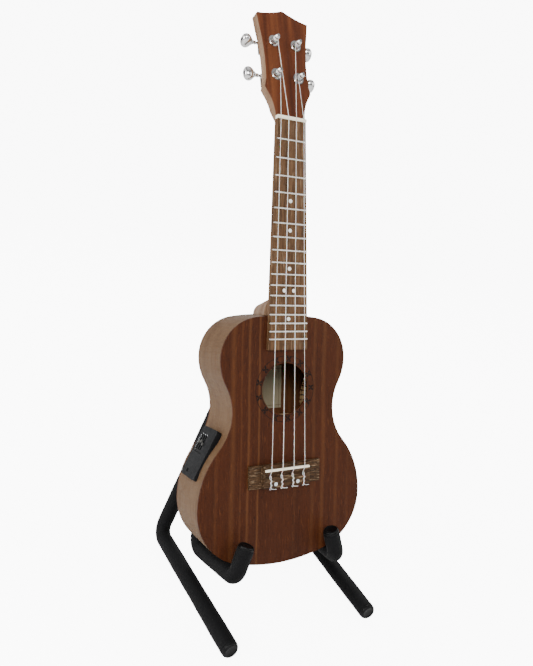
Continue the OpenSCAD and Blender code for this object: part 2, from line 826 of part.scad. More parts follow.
module panel_shape() {
    difference() {
        union() {
            rounded_plate(0, panel_low, panel_top);
            difference() {
                rounded_plate(0, -skirt_deep, panel_low + 0.5);
                rounded_plate(skirt_thick, -skirt_deep - 1, panel_low);
            }
        }
        for (k = [-1:1]) translate([slot_x - slot_long / 2, slot_mid_y + k * slot_pitch - slot_wide / 2, -1])
            cube([slot_long, slot_wide, 8]);
        translate([door_x - door_gap, door_y - door_gap, panel_low - 1])
            cube([door_long + 2 * door_gap, door_wide + 2 * door_gap, 8]);
        for (p = screw_places) translate([p[0], p[1], panel_low - 1]) cylinder(r = screw_r, h = 8);
        for (p = screw_places) translate([p[0], p[1], panel_top - 1.1])
            cylinder(r = screw_head_r + 0.1, h = 3);
    }
}

module preamp_box() {
    color("black") leaned() on_panel() difference() {
        translate([-box_long / 2, -box_wide / 2, -box_deep])
            cube([box_long, box_wide, box_deep + panel_low - 0.02]);
        translate([-box_long / 2 + 1.4, -box_wide / 2 + 1.4, -box_deep + 1.4])
            cube([box_long - 2.8, box_wide - 2.8, box_deep + 4]);
    }
}

module preamp_screws() {
    color("black") leaned() on_panel() for (p = screw_places) translate([p[0], p[1], 0]) {
        translate([0, 0, -7]) cylinder(r = screw_r - 0.1, h = 7 + panel_top - 0.6);
        translate([0, 0, panel_top - 1.05]) cylinder(r = screw_head_r, h = 0.9);
    }
}

module one_slider(k, shift) {
    color("lightgray") leaned() on_panel() translate([slot_x + shift, slot_mid_y + k * slot_pitch, 0]) {
        translate([-1.2, -slot_wide / 2 + 0.2, -3]) cube([2.4, slot_wide - 0.4, panel_top + 3.3]);
        translate([-1.6, -1.5, panel_top + 0.3]) cube([3.2, 3, 1.1]);
        translate([-2.4, -1.9, -3.6]) cube([4.8, 3.8, 1]);
    }
}

module volume_slider() { one_slider(-1, 0.5); }
module treble_slider() { one_slider(0, -1); }
module bass_slider() { one_slider(1, 1.5); }

notch_long = 3.4;
notch_wide = 6;
// The door turns on the round barrel along its upper edge
module battery_door() {
    color("dimgray") leaned() on_panel() difference() {
        union() {
            translate([door_x + barrel_r, door_y, panel_top - door_thick])
                cube([door_long - barrel_r, door_wide, door_thick]);
            translate([door_x + barrel_r, door_y, panel_top - door_thick / 2]) rotate([-90, 0, 0])
                cylinder(r = barrel_r, h = door_wide);
        }
        translate([door_x + door_long - notch_long, door_y + 10.5, panel_top - 0.9])
            cube([notch_long + 1, notch_wide, 3]);
    }
}

cell_r = 10;
module coin_cells() {
    color("silver") leaned() on_panel() for (z = [-6.6, -3.3])
        translate([door_x + door_long / 2, -3.9, z]) cylinder(r = cell_r, h = 3.2);
}

jack_r = 5.8;
jack_bore_r = 3.25;
module output_jack() {
    color("silver") leaned() translate([0, 0, jack_w]) rotate([90, 0, 0]) difference() {
        union() {
            translate([0, 0, 464]) cylinder(r = jack_r, h = 29);
            translate([0, 0, 490.05]) cylinder(r = 8.2, h = 1.8);
            translate([0, 0, 468.4]) cylinder(r = 8.2, h = 3.6);
        }
        translate([0, 0, 470]) cylinder(r = jack_bore_r, h = 30);
    }
}

// The pickup's lead to the preamp, and the preamp's lead to the jack
module signal_leads() {
    color("black") leaned() {
        rod([-24, saddle_v, inner_front - 3.4], [-64.6, -376.5, -38], 0.9);
        rod([-65.6, -377, -44], [0, -462, jack_w], 1.2);
    }
}

left_frame();
left_leg_foam();
left_arm_foam();
left_end_caps();
right_frame();
right_leg_foam();
right_arm_foam();
right_end_caps();
hinge_bolt();
back_pad();
hinge_knob();
soundboard();
back_plate();
left_ribs();
right_ribs();
front_lining();
back_lining();
neck_block();
tail_block();
front_braces();
back_braces();
bridge_plate();
maker_label();
neck();
fingerboard();
frets();
fret_markers();
nut();
bridge();
bridge_dots();
saddle();
piezo_strip();
string_1();
string_2();
string_3();
string_4();
tuner_bushings();
tuner_housings();
tuner_button_1();
tuner_button_2();
tuner_button_3();
tuner_button_4();
string_post_1();
string_post_2();
string_post_3();
string_post_4();
string_winding_1();
string_winding_2();
string_winding_3();
string_winding_4();
preamp_bezel();
preamp_box();
preamp_screws();
volume_slider();
treble_slider();
bass_slider();
battery_door();
coin_cells();
output_jack();
signal_leads();
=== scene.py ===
"""Looks for the concert ukulele on its folding stand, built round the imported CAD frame."""

import math
import random

import bmesh
import bpy
from mathutils import Matrix, Vector


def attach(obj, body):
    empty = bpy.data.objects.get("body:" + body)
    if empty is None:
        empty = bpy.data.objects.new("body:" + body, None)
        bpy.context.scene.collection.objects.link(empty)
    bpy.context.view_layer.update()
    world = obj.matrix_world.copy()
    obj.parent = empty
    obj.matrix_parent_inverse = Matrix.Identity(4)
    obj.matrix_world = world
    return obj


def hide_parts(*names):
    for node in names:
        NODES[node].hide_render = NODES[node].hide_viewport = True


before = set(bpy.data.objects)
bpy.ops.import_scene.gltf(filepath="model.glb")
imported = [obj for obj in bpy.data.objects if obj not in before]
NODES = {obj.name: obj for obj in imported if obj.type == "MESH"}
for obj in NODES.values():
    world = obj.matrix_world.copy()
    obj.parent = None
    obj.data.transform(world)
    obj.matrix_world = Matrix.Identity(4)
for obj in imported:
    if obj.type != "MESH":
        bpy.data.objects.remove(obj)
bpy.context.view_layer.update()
MM = 0.001

# ---------------------------------------------------------------- frames
# UKE is the ukulele's own frame, with its origin at the nut: u runs across, v up the neck and w out
# of the soundboard. HEAD lies in the headstock's face and PANEL along the preamp's, each with its
# third axis pointing out of that face.
LEAN = math.radians(15.24)
NUT_HEIGHT = 524.4 * MM
DEPTH_SHIFT = 58 * MM
HEAD_TILT = math.radians(11)
PANEL_TURN = math.radians(-119.25)

UKE = Matrix.Translation((0, DEPTH_SHIFT, NUT_HEIGHT)) @ Matrix.Rotation(math.pi / 2 - LEAN, 4, "X")
HEAD = UKE @ Matrix.Translation((0, 0, -2 * MM)) @ Matrix.Rotation(-HEAD_TILT, 4, "X")
PANEL = (UKE @ Matrix.Translation((-85.2 * MM, -365 * MM, -40 * MM))
         @ Matrix.Rotation(PANEL_TURN, 4, "Z") @ Matrix.Rotation(math.pi / 2, 4, "X"))
WORLD = Matrix.Identity(4)

# Main sizes of the instrument, in millimetres: where the soundboard's and the back's outer faces lie
# along w, how thick those plates are, and where the soundhole and the saddle lie along v
FACE_W = -5
BACK_W = -70
PLATE = 2.2
HOLE_V = -293.4
SADDLE_V = -381.2


# ---------------------------------------------------------------- mesh helpers
def mesh_piece(name, verts, faces, place, body, material, stands_for=(), smooth=True, sharp=40):
    """A mesh given in millimetres in the frame `place`, stored in the shared frame, riding on a body."""
    mesh = bpy.data.meshes.new(name)
    mesh.from_pydata([place @ (Vector(v) * MM) for v in verts], [], faces)
    mesh.update()
    obj = bpy.data.objects.new(name, mesh)
    bpy.context.scene.collection.objects.link(obj)
    mesh.materials.append(material)
    fix_normals(mesh)
    if smooth:
        mesh.shade_smooth()
        mesh.set_sharp_from_angle(angle=math.radians(sharp))
    if body:
        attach(obj, body)
    if stands_for:
        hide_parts(*stands_for)
    return obj


def fix_normals(mesh):
    """Turns every face outwards."""
    bm = bmesh.new()
    bm.from_mesh(mesh)
    bmesh.ops.recalc_face_normals(bm, faces=bm.faces)
    bm.to_mesh(mesh)
    bm.free()


class Shape:
    """Collects vertices and faces from several builders into one mesh."""

    def __init__(self):
        self.verts = []
        self.faces = []

    def add(self, verts, faces, place=None):
        base = len(self.verts)
        self.verts += [tuple(place @ Vector(v)) if place else tuple(v) for v in verts]
        self.faces += [tuple(base + i for i in f) for f in faces]
        return self


def rings_to_mesh(rings):
    """Quads between rings of equal length, with both ends capped."""
    count = len(rings[0])
    last = (len(rings) - 1) * count
    verts = [p for ring in rings for p in ring]
    faces = []
    for a in range(len(rings) - 1):
        b = a + 1
        for i in range(count):
            j = (i + 1) % count
            faces.append((a * count + i, a * count + j, b * count + j, b * count + i))
    faces.append(tuple(range(count)))
    faces.append(tuple(last + i for i in range(count)))
    return verts, faces


def lathe(profile, sides):
    """A closed turned form about Z from (radius, height) pairs."""
    rings = [[(r * math.cos(2 * math.pi * i / sides), r * math.sin(2 * math.pi * i / sides), z)
              for i in range(sides)] for r, z in profile]
    return rings_to_mesh(rings)


def path_frames(points):
    """Two unit vectors across the path at each point, carried along it without twist."""
    tangents = []
    for i in range(len(points)):
        a = points[max(i - 1, 0)]
        b = points[min(i + 1, len(points) - 1)]
        tangents.append((b - a).normalized())
    side = tangents[0].orthogonal().normalized()
    frames = []
    for t in tangents:
        side = (side - t * side.dot(t)).normalized()
        frames.append((side, t.cross(side)))
    return frames


def sweep(points, radius, sides, shape=None):
    """A round tube along points. shape(k, direction) adds to the radius at point k in a direction."""
    rings = []
    for k, (p, (a, b)) in enumerate(zip(points, path_frames(points))):
        ring = []
        for i in range(sides):
            angle = 2 * math.pi * i / sides
            d = a * math.cos(angle) + b * math.sin(angle)
            ring.append(p + d * (radius + (shape(k, d) if shape else 0)))
        rings.append(ring)
    return rings_to_mesh(rings)


def add_straight(points, end, step):
    """Adds evenly spaced points from the last one towards end, without end itself."""
    origin = points[-1].copy()
    straight = (end - origin).length
    for i in range(1, max(int(straight / step), 1)):
        points.append(origin.lerp(end, i * step / straight))


def rounded_path(corners, radii, step):
    """Points along straight runs joined by arcs of the given radii at the inner corners."""
    corners = [Vector(c) for c in corners]
    points = [corners[0]]
    for a, c, b, r in zip(corners, corners[1:], corners[2:], radii):
        e1 = (a - c).normalized()
        e2 = (b - c).normalized()
        half = e1.angle(e2) / 2
        entry = c + e1 * (r / math.tan(half))
        centre = c + (e1 + e2).normalized() * (r / math.sin(half))
        start = entry - centre
        axis = e1.cross(e2).normalized()
        turn = -(math.pi - 2 * half)
        add_straight(points, entry, step)
        count = max(int(abs(turn) * r / step), 6)
        for i in range(count + 1):
            points.append(centre + Matrix.Rotation(turn * i / count, 3, axis) @ start)
    add_straight(points, corners[-1], step)
    points.append(corners[-1])
    return points


def box_mesh(lo, hi):
    """A box between two opposite corners."""
    x0, y0, z0 = lo
    x1, y1, z1 = hi
    verts = [(x, y, z) for z in (z0, z1) for y in (y0, y1) for x in (x0, x1)]
    faces = [(0, 2, 3, 1), (4, 5, 7, 6), (0, 1, 5, 4), (2, 6, 7, 3), (0, 4, 6, 2), (1, 3, 7, 5)]
    return verts, faces


# ---------------------------------------------------------------- material helpers
class Graph:
    """A small wrapper round one material's node tree."""

    def __init__(self, name):
        self.material = bpy.data.materials.new(name)
        self.material.use_nodes = True
        self.tree = self.material.node_tree
        self.tree.nodes.clear()
        self.shader = self.tree.nodes.new("ShaderNodeBsdfPrincipled")
        out = self.tree.nodes.new("ShaderNodeOutputMaterial")
        self.tree.links.new(self.shader.outputs[0], out.inputs[0])

    def put(self, socket, value):
        if isinstance(value, bpy.types.NodeSocket):
            self.tree.links.new(value, socket)
        else:
            socket.default_value = value

    def set(self, **values):
        """Sets the shader's own sockets; an underscore stands for a space in a socket's name."""
        for key, value in values.items():
            self.put(self.shader.inputs[key.replace("_", " ")], value)

    def coords(self, place=WORLD):
        """Object coordinates taken into the frame `place`."""
        source = self.tree.nodes.new("ShaderNodeTexCoord").outputs["Object"]
        if place is not WORLD:
            node = self.tree.nodes.new("ShaderNodeMapping")
            node.vector_type = "TEXTURE"
            node.inputs["Location"].default_value = place.to_translation()
            node.inputs["Rotation"].default_value = place.to_euler()
            self.tree.links.new(source, node.inputs["Vector"])
            source = node.outputs[0]
        return source

    def scaled(self, vector, scale):
        node = self.tree.nodes.new("ShaderNodeMapping")
        node.inputs["Scale"].default_value = scale
        self.tree.links.new(vector, node.inputs["Vector"])
        return node.outputs[0]

    def split(self, vector):
        node = self.tree.nodes.new("ShaderNodeSeparateXYZ")
        self.tree.links.new(vector, node.inputs[0])
        return node.outputs

    def noise(self, vector, scale, detail=3.0, rough=0.55, warp=0.0):
        node = self.tree.nodes.new("ShaderNodeTexNoise")
        self.put(node.inputs["Vector"], vector)
        node.inputs["Scale"].default_value = scale
        node.inputs["Detail"].default_value = detail
        node.inputs["Roughness"].default_value = rough
        node.inputs["Distortion"].default_value = warp
        return node.outputs["Fac"]

    def math(self, operation, a, b=0.0, c=0.0):
        node = self.tree.nodes.new("ShaderNodeMath")
        node.operation = operation
        for socket, value in zip(node.inputs, (a, b, c)):
            self.put(socket, value)
        return node.outputs[0]

    def band(self, value, lo, hi):
        """0 below lo, 1 above hi, smooth between."""
        node = self.tree.nodes.new("ShaderNodeMapRange")
        node.interpolation_type = "SMOOTHSTEP"
        self.put(node.inputs["Value"], value)
        node.inputs["From Min"].default_value = lo
        node.inputs["From Max"].default_value = hi
        return node.outputs["Result"]

    def ramp(self, value, stops):
        node = self.tree.nodes.new("ShaderNodeValToRGB")
        self.put(node.inputs[0], value)
        ramp = node.color_ramp
        while len(ramp.elements) < len(stops):
            ramp.elements.new(0.5)
        for element, (at, colour) in zip(ramp.elements, stops):
            element.position = at
            element.color = (*colour, 1)
        return node.outputs[0]

    def mix(self, fac, a, b, how="MIX"):
        node = self.tree.nodes.new("ShaderNodeMix")
        node.data_type = "RGBA"
        node.blend_type = how
        self.put(node.inputs[0], fac)
        for socket, value in ((node.inputs[6], a), (node.inputs[7], b)):
            self.put(socket, (*value, 1) if isinstance(value, tuple) else value)
        return node.outputs[2]

    def bump(self, height, strength, distance):
        node = self.tree.nodes.new("ShaderNodeBump")
        node.inputs["Strength"].default_value = strength
        node.inputs["Distance"].default_value = distance
        self.put(node.inputs["Height"], height)
        self.tree.links.new(node.outputs[0], self.shader.inputs["Normal"])

    def edge_wear(self):
        """1 on convex edges, 0 on flats."""
        node = self.tree.nodes.new("ShaderNodeNewGeometry")
        return self.band(node.outputs["Pointiness"], 0.52, 0.58)


def srgb(r, g, b):
    """Linear colour from 0-255 screen values."""
    return tuple((c / 255 / 12.92) if c <= 10 else ((c / 255 + 0.055) / 1.055) ** 2.4 for c in (r, g, b))


# Noise is stretched along v for timber whose grain runs up the instrument
ALONG = (1, 0.035, 1)
# The studio is bright enough to bleach the white parts, so darker finishes are held back by this share
HELD = 0.66


def wood(name, place, dark, base, light, figure, streaks, pores, rough, along=ALONG,
         grain=480, extra=None, held=HELD):
    """Long-grained timber: broad ribbons, fine streaks, open pores and their bump."""
    g = Graph(name)
    flat = g.coords(place)
    stretched = g.scaled(flat, along)
    ribbons = g.noise(stretched, figure, 2.5, 0.6, 0.4)
    fine = g.noise(stretched, grain, 4, 0.62)
    colour = g.ramp(ribbons, [(0.28, dark), (0.5, base), (0.62, base), (0.74, light)])
    colour = g.mix(g.math("MULTIPLY", g.band(fine, 0.42, 0.66), streaks), colour, dark)
    blotch = g.noise(flat, 14, 2)
    colour = g.mix(g.math("MULTIPLY", g.band(blotch, 0.35, 0.7), 0.35), colour,
                   tuple(c * 0.72 for c in base))
    dash = g.scaled(flat, tuple(a if a == 1 else a * 2.6 for a in along))
    pore = g.band(g.noise(dash, 1500, 2, 0.5), 0.6, 0.68)
    colour = g.mix(g.math("MULTIPLY", pore, pores), colour, tuple(c * 0.35 for c in dark))
    if extra:
        colour = extra(g, flat, colour)
    g.set(Base_Color=g.mix(1.0, colour, (held, held, held), "MULTIPLY"))
    g.set(Roughness=g.math("MULTIPLY_ADD", fine, 0.22, rough - 0.1))
    g.set(Specular_IOR_Level=0.13)
    g.bump(g.math("SUBTRACT", g.math("MULTIPLY", fine, 0.35), pore), 0.35, 0.0002)
    return g.material


def foam_material(name):
    """Closed-cell foam skin: fine cells, faint scuffs and a soft grey sheen."""
    g = Graph(name)
    flat = g.coords()
    cells = g.noise(flat, 2600, 2, 0.6)
    scuff = g.band(g.noise(flat, 60, 4, 0.6), 0.52, 0.72)
    colour = g.mix(g.math("MULTIPLY", scuff, 0.5), srgb(7, 7, 8), srgb(13, 13, 14))
    colour = g.mix(g.math("MULTIPLY", g.band(cells, 0.55, 0.7), 0.4), colour, srgb(4, 4, 4))
    g.set(Base_Color=colour, Roughness=g.math("MULTIPLY_ADD", cells, 0.15, 0.62))
    g.set(Sheen_Weight=0.015, Sheen_Roughness=0.5, Specular_IOR_Level=0.12)
    g.bump(g.math("ADD", cells, g.math("MULTIPLY", scuff, 0.3)), 0.35, 0.0002)
    return g.material


def plastic_material(name, colour, rough=0.42, texture=1800, strength=0.25, wear=0.25, held=HELD):
    """Moulded plastic with a fine spark texture, faint dust and paler edges."""
    g = Graph(name)
    colour = tuple(c * held for c in colour)
    flat = g.coords()
    spark = g.noise(flat, texture, 2, 0.5)
    dust = g.band(g.noise(flat, 90, 3), 0.5, 0.75)
    pale = tuple(min(c * 2.2 + 0.01, 1) for c in colour)
    tint = g.mix(g.math("MULTIPLY", dust, 0.22), colour, pale)
    tint = g.mix(g.math("MULTIPLY", g.edge_wear(), wear), tint, pale)
    g.set(Base_Color=tint, Roughness=g.math("MULTIPLY_ADD", dust, 0.12, rough))
    g.set(Specular_IOR_Level=0.22 * held)
    g.bump(spark, strength, 0.0001)
    return g.material


def metal_material(name, colour, rough, scratch=0.12, tarnish=0.12):
    """Plated metal with fine polishing marks and slight tarnish."""
    g = Graph(name)
    flat = g.coords()
    lines = g.noise(g.scaled(flat, (1, 0.08, 1)), 2400, 3)
    cloud = g.noise(flat, 220, 3)
    dull = tuple(c * 0.62 for c in colour)
    tint = g.mix(g.math("MULTIPLY", g.band(cloud, 0.5, 0.75), tarnish * 2), colour, dull)
    g.set(Base_Color=tint, Metallic=1.0)
    g.set(Roughness=g.math("MULTIPLY_ADD", g.math("ADD", lines, cloud), scratch, rough))
    g.bump(lines, 0.05, 0.00005)
    return g.material


# ---------------------------------------------------------------- materials in use
# Ribbon stripes: distance from the centre line, half width, and share of the tint
STREAKS = [(-64, 5.0, 0.22), (-45, 2.6, 0.34), (-32.5, 2.0, 0.4), (-54, 1.8, 0.16), (38, 4.0, 0.18),
           (51, 4.4, 0.24), (70, 3.6, 0.14), (14, 3.0, 0.08), (86, 3.0, 0.1), (-83, 3.4, 0.12)]
HEAD_STREAKS = [(2.5, 4.4, 0.4), (15, 3.4, 0.25), (-23, 3, 0.2), (-9, 2.0, 0.14)]
# The rosette: a ring of flowers between two burnt lines, as radii round the soundhole's centre
FLOWERS = 13
FLOWER_RING = 33.5
INNER_LINE = 30.4
OUTER_LINE = 36.8
TO_MM = (1000, 1000, 1000)


def ribbon_stripes(g, flat, colour, stripes, tint, sway=7.0):
    """Soft straight-grained stripes at given distances from the centre line, slightly wavering."""
    wander = g.noise(g.scaled(flat, (0.6, 1, 0.6)), 7, 2)
    across = g.math("ADD", g.math("MULTIPLY", g.split(flat)[0], 1000.0),
                    g.math("MULTIPLY_ADD", wander, sway, -sway / 2))
    broken = g.noise(g.scaled(flat, (1, 0.12, 1)), 260, 3, 0.6)
    for centre, half, share in stripes:
        away = g.math("ABSOLUTE", g.math("SUBTRACT", across, float(centre)))
        share_here = g.math("MULTIPLY_ADD", broken, share, share * 0.45)
        line = g.math("MULTIPLY", g.band(away, half, 0.0), share_here)
        colour = g.mix(line, colour, tint)
    return colour


def soundboard_detail(g, flat, colour):
    """Ribbon stripes, a painted sheen along the grain and the etched ring of flowers round the soundhole.
    """
    colour = ribbon_stripes(g, flat, colour, STREAKS, srgb(132, 84, 46))
    # Painted sheen: pale orange flecks along the grain stand in for light glinting off the figure.
    painted_sheen = g.band(g.noise(g.scaled(flat, (1, 0.09, 1)), 780, 3, 0.6), 0.55, 0.72)
    colour = g.mix(g.math("MULTIPLY", painted_sheen, 0.2), colour, srgb(146, 86, 44))
    u, v, _ = g.split(g.scaled(flat, TO_MM))
    y = g.math("SUBTRACT", v, HOLE_V)
    r = g.math("SQRT", g.math("ADD", g.math("MULTIPLY", u, u), g.math("MULTIPLY", y, y)))
    inner = g.band(g.math("ABSOLUTE", g.math("SUBTRACT", r, INNER_LINE)), 0.42, 0.2)
    outer = g.band(g.math("ABSOLUTE", g.math("SUBTRACT", r, OUTER_LINE)), 0.42, 0.2)
    turn = g.math("MULTIPLY_ADD", g.math("ARCTAN2", y, u), FLOWERS / (2 * math.pi), 0.5)
    px = g.math("MULTIPLY_ADD", g.math("FRACT", turn), 2 * math.pi * FLOWER_RING / FLOWERS,
                -math.pi * FLOWER_RING / FLOWERS)
    py = g.math("SUBTRACT", r, FLOWER_RING)
    total = g.math("ADD", g.math("MULTIPLY", px, px), g.math("MULTIPLY", py, py))
    lobes = g.math("MULTIPLY", g.math("ABSOLUTE", g.math("MULTIPLY", px, py)), 7.6)
    inside = g.math("SUBTRACT", lobes, g.math("POWER", total, 1.5))
    flower = g.band(inside, -0.4, 0.5)
    ink = g.math("MAXIMUM", g.math("MAXIMUM", inner, outer), flower)
    return g.mix(g.math("MULTIPLY", ink, 0.95), colour, srgb(14, 7, 4))


def flecks(along, amount):
    """Short pale dashes lying along the grain of an open-pored timber."""
    def add(g, flat, colour):
        dashes = g.band(g.noise(g.scaled(flat, along), 620, 3, 0.6), 0.54, 0.7)
        return g.mix(g.math("MULTIPLY", dashes, amount), colour, srgb(178, 152, 120))
    return add


def head_face(g, flat, colour):
    """A dark veneer on the front of the headstock; the rest of the neck stays pale."""
    head = g.coords(HEAD)
    _, s, z = g.split(g.scaled(head, TO_MM))
    ribbons = g.noise(g.scaled(head, (1, 0.05, 1)), 120, 2.5, 0.6, 0.3)
    veneer = g.ramp(ribbons, [(0.3, srgb(78, 37, 17)), (0.5, srgb(101, 51, 26)), (0.7, srgb(124, 70, 38))])
    veneer = ribbon_stripes(g, head, veneer, HEAD_STREAKS, srgb(46, 20, 10), 4.0)
    front = g.math("MULTIPLY", g.band(z, -1.25, -1.05), g.band(s, 0.2, 0.9))
    seam = g.math("MULTIPLY", g.band(g.math("ABSOLUTE", g.math("ADD", z, 1.15)), 0.35, 0.1),
                  g.band(s, 0.2, 0.9))
    colour = g.mix(front, colour, veneer)
    return g.mix(g.math("MULTIPLY", seam, 0.45), colour, srgb(70, 44, 28))


top_wood = wood(
    "top_mahogany", UKE, srgb(60, 27, 8), srgb(76, 35, 10), srgb(88, 45, 14),
    figure=45, streaks=0.35, pores=0.5, rough=0.56, grain=520, extra=soundboard_detail)
side_wood = wood(
    "side_sapele", UKE, srgb(98, 70, 46), srgb(119, 92, 66), srgb(136, 109, 84),
    figure=40, streaks=0.35, pores=0.35, rough=0.55)
back_wood = wood(
    "back_sapele", UKE, srgb(84, 50, 28), srgb(112, 72, 44), srgb(136, 94, 62),
    figure=70, streaks=0.4, pores=0.4, rough=0.52)
neck_wood = wood(
    "neck_okoume", UKE, srgb(140, 108, 82), srgb(166, 135, 108), srgb(186, 157, 130),
    figure=75, streaks=0.35, pores=0.35, rough=0.52, grain=560, extra=head_face)
board_wood = wood(
    "fingerboard_walnut", UKE, srgb(62, 41, 25), srgb(116, 84, 56), srgb(164, 130, 94),
    figure=210, streaks=0.7, pores=0.7, rough=0.5, grain=700, along=(1, 0.05, 1),
    extra=flecks((1, 0.07, 1), 0.4))
bridge_wood = wood(
    "bridge_walnut", UKE, srgb(38, 23, 12), srgb(88, 62, 38), srgb(132, 102, 70),
    figure=330, streaks=0.9, pores=0.9, rough=0.52, grain=900, along=(0.16, 1, 1),
    extra=flecks((0.14, 1, 1), 0.7))
pale_wood = wood(
    "raw_spruce", UKE, srgb(176, 142, 98), srgb(208, 180, 136), srgb(226, 202, 162),
    figure=120, streaks=0.3, pores=0.2, rough=0.68, grain=600, held=0.95)
foam = foam_material("foam_skin")
cap_plastic = plastic_material("cap_plastic", srgb(9, 9, 10), 0.4, 900, 0.2, 0.3)
panel_plastic = plastic_material("panel_plastic", srgb(14, 15, 17), 0.52, 2600, 0.35, 0.2)
box_plastic = plastic_material("box_plastic", srgb(8, 8, 9), 0.5, 1500, 0.25, 0.2)
knob_grey = plastic_material("knob_grey", srgb(84, 83, 80), 0.35, 2200, 0.1, 0.1)
bone = plastic_material("bone", srgb(250, 241, 212), 0.36, 700, 0.05, 0.1, 1.0)
pearl = plastic_material("pearl", srgb(236, 236, 230), 0.25, 500, 0.04, 0.05, 1.0)
dot_pearl = plastic_material("bridge_pearl", srgb(198, 204, 205), 0.25, 500, 0.04, 0.05, 1.0)
steel_black = plastic_material("steel_black", srgb(14, 14, 15), 0.3, 1400, 0.15, 0.3)
chrome = metal_material("chrome_plate", (0.66, 0.65, 0.64), 0.05, 0.05, 0.08)
fret_metal = metal_material("fret_metal", (0.9, 0.88, 0.83), 0.2, 0.08, 0.1)
zinc = metal_material("zinc_plate", (0.6, 0.6, 0.6), 0.28, 0.12, 0.2)
cell_steel = metal_material("cell_steel", (0.75, 0.75, 0.74), 0.2, 0.1, 0.1)
brass_foil = metal_material("brass_foil", (0.8, 0.6, 0.3), 0.25, 0.1, 0.2)
lead_sleeve = plastic_material("lead_sleeve", srgb(24, 24, 24), 0.5, 1200, 0.15, 0.1)
mark_paint = plastic_material("mark_paint", srgb(215, 217, 218), 0.55, 2400, 0.1, 0.0, 1.0)


def nylon_material():
    """Clear nylon: milky, with faint drawing lines along it and a soft gloss."""
    g = Graph("nylon")
    flat = g.coords(UKE)
    lines = g.noise(g.scaled(flat, (1, 0.02, 1)), 3200, 2)
    haze = g.noise(flat, 130, 3)
    colour = g.mix(g.band(haze, 0.35, 0.7), srgb(227, 224, 220), srgb(205, 202, 199))
    g.set(Base_Color=colour, Roughness=g.math("MULTIPLY_ADD", lines, 0.15, 0.24))
    g.set(Subsurface_Weight=0.2, Subsurface_Scale=0.0006, IOR=1.53)
    g.bump(lines, 0.12, 0.00005)
    return g.material


# The label's ruled frame: half its width, half its height and its middle along v
FRAME_HALF_U = 26.5
FRAME_HALF_V = 22.5
LABEL_V = -300.0


def paper_material():
    """Plain cream label paper with a thin ruled frame and slight foxing."""
    g = Graph("label_paper")
    flat = g.coords(UKE)
    u, v, _ = g.split(g.scaled(flat, TO_MM))
    from_middle = g.math("ABSOLUTE", g.math("SUBTRACT", v, LABEL_V))
    edge_u = g.band(g.math("ABSOLUTE", g.math("SUBTRACT", g.math("ABSOLUTE", u), FRAME_HALF_U)), 0.5, 0.2)
    edge_v = g.band(g.math("ABSOLUTE", g.math("SUBTRACT", from_middle, FRAME_HALF_V)), 0.5, 0.2)
    spots = g.band(g.noise(flat, 160, 4), 0.6, 0.78)
    fibre = g.noise(flat, 1800, 3)
    colour = g.mix(g.math("MULTIPLY", spots, 0.3), srgb(146, 134, 108), srgb(122, 104, 76))
    colour = g.mix(g.math("MULTIPLY", g.math("MAXIMUM", edge_u, edge_v), 0.7), colour, srgb(90, 70, 52))
    g.set(Base_Color=colour, Roughness=g.math("MULTIPLY_ADD", fibre, 0.1, 0.78))
    g.bump(fibre, 0.2, 0.0001)
    return g.material


nylon = nylon_material()
label_paper = paper_material()


# ---------------------------------------------------------------- CAD nodes that keep their shape
def dress(material, *names, bevel=0.0):
    """Gives CAD nodes their finish. A bevel softens the edges of those with crisp corners."""
    for name in names:
        obj = NODES[name]
        obj.data.materials.clear()
        obj.data.materials.append(material)
        if bevel:
            weld = obj.modifiers.new("weld", "WELD")
            weld.merge_threshold = 1e-5
            soft = obj.modifiers.new("soft_edges", "BEVEL")
            soft.width = bevel * MM
            soft.segments = 3
            soft.limit_method = "ANGLE"
            soft.angle_limit = math.radians(40)
            soft.harden_normals = True


dress(top_wood, "soundboard")
dress(side_wood, *[n for n in NODES if n.endswith("_ribs")])
dress(back_wood, "back_plate")
dress(pale_wood, "neck_block", "tail_block", "front_braces", "back_braces", "bridge_plate")
dress(label_paper, "maker_label")
dress(neck_wood, "neck")
dress(board_wood, "fingerboard", bevel=0.25)
dress(bridge_wood, "bridge", bevel=0.35)
dress(fret_metal, "frets")
dress(pearl, "fret_markers")
dress(dot_pearl, "bridge_dots")
dress(bone, "nut", "saddle")
dress(brass_foil, "piezo_strip")
dress(steel_black, "left_frame", "right_frame")
dress(zinc, "hinge_bolt")
dress(cap_plastic, "hinge_knob", bevel=0.7)
dress(chrome, "tuner_bushings", *["string_post_%d" % i for i in (1, 2, 3, 4)])
dress(chrome, "tuner_housings", bevel=0.4)
dress(panel_plastic, "preamp_bezel", "battery_door", bevel=0.3)
dress(box_plastic, "preamp_box")
dress(cap_plastic, "preamp_screws")
dress(knob_grey, "volume_slider", "treble_slider", "bass_slider", bevel=0.25)
dress(cell_steel, "coin_cells")
dress(chrome, "output_jack")
dress(lead_sleeve, "signal_leads")


# ---------------------------------------------------------------- stand: foam, caps, pad
# Corners of the right leg's and arm's middle lines in UKE; the left ones are their mirror images.
# The arm passes under the body on a circle round the centre of the body's tail, whose radius is the
# tail's 200, the foam's 9.5 and a gap of 0.35. The foam starts LEG_BARE and ARM_BARE along from the
# first corner.
FOAM_R = 9.5
LIP_LENGTH = 1.6
LIP_DEPTH = 1.1
CREASE_PITCH = 5.2
CREASE_LIMIT = 1.1
TAIL_CENTRE_V = -290
ARM_REST = 209.85
LEG = [(22, -286, -96), (94.5, -491.6, -154.4), (85, -544.8, 40.9)]
LEG_BARE = 38
ARM_BARE = 26
BEND_R = 15
HOOK_R = 11


def on_rest(u, w):
    """The point at u and w on the circle that the arm follows under the body."""
    return (u, TAIL_CENTRE_V - math.sqrt(ARM_REST ** 2 - u * u), w)


ARM = [(29, -300, -84.1), on_rest(73, -84.1), on_rest(64.3, 8), (54, -458, 11.5)]


def toward(a, b, distance):
    """The point at a distance from a on the way to b."""
    return a + (b - a).normalized() * distance


